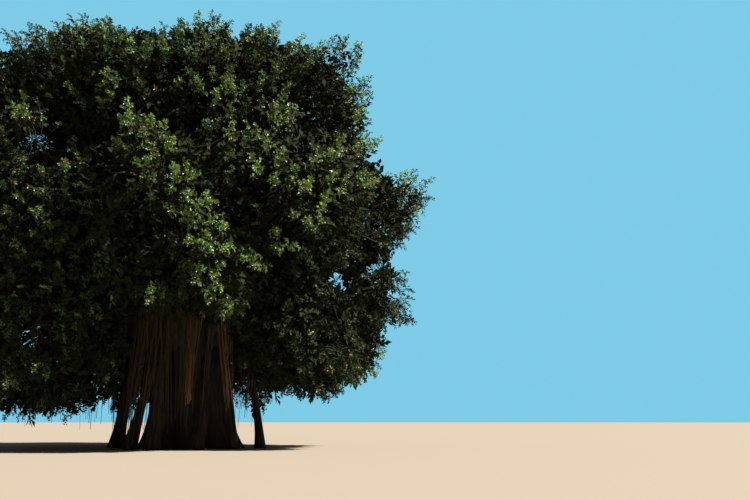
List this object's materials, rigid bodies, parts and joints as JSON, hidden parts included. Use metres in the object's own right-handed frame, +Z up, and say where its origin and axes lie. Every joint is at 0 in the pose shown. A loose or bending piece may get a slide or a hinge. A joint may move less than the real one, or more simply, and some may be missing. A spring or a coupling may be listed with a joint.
{
  "type": "banyan tree",
  "caption": "Whole banyan tree: fluted trunk with prop roots and boughs under a broad, dense, drooping crown that hangs almost to the ground, open at one side.",
  "frame": {"origin": "centre of the trunk's flat cut at ground level", "axes": "+Z up the trunk, +X to the right of the picture's view, along the crown's widest extent, +Y away from the viewer"},
  "size_m": [31.3233, 27.7112, 26.6273],
  "materials": {
    "bark": "rough, furrowed grey-brown bark",
    "root_bark": "rough, stringy warm brown root bark",
    "foliage": "small glossy dark green leaves in drooping sprays"
  },
  "bodies": {
    "root": {"bough_1": "bark", "bough_2": "bark", "bough_3": "bark", "bough_4": "bark", "bough_5": "bark", "bough_6": "bark", "bough_7": "bark", "bough_8": "bark", "bough_9": "bark", "foliage_low_1": "foliage", "foliage_low_2": "foliage", "foliage_low_3": "foliage", "foliage_low_4": "foliage", "foliage_low_5": "foliage", "foliage_low_6": "foliage", "foliage_low_7": "foliage", "foliage_low_8": "foliage", "foliage_middle_1": "foliage", "foliage_middle_2": "foliage", "foliage_middle_3": "foliage", "foliage_middle_4": "foliage", "foliage_middle_5": "foliage", "foliage_middle_6": "foliage", "foliage_middle_7": "foliage", "foliage_middle_8": "foliage", "foliage_middle_9": "foliage", "foliage_top_1": "foliage", "foliage_top_2": "foliage", "foliage_upper_1": "foliage", "foliage_upper_2": "foliage", "foliage_upper_3": "foliage", "foliage_upper_4": "foliage", "foliage_upper_5": "foliage", "foliage_upper_6": "foliage", "foliage_upper_7": "foliage", "leader_1": "bark", "leader_2": "bark", "low_limb_1": "bark", "low_limb_2": "bark", "low_limb_3": "bark", "low_limb_4": "bark", "low_limb_5": "bark", "low_limb_6": "bark", "low_limb_7": "bark", "low_limb_8": "bark", "prop_root_back": "root_bark", "prop_root_front_left": "root_bark", "prop_root_front_middle": "root_bark", "prop_root_front_right": "root_bark", "prop_root_left": "root_bark", "prop_root_right": "root_bark", "prop_root_right_far": "root_bark", "trunk": "bark", "upper_limb_1": "bark", "upper_limb_2": "bark", "upper_limb_3": "bark", "upper_limb_4": "bark", "upper_limb_5": "bark", "upper_limb_6": "bark", "upper_limb_7": "bark"}
  },
  "joints": []
}
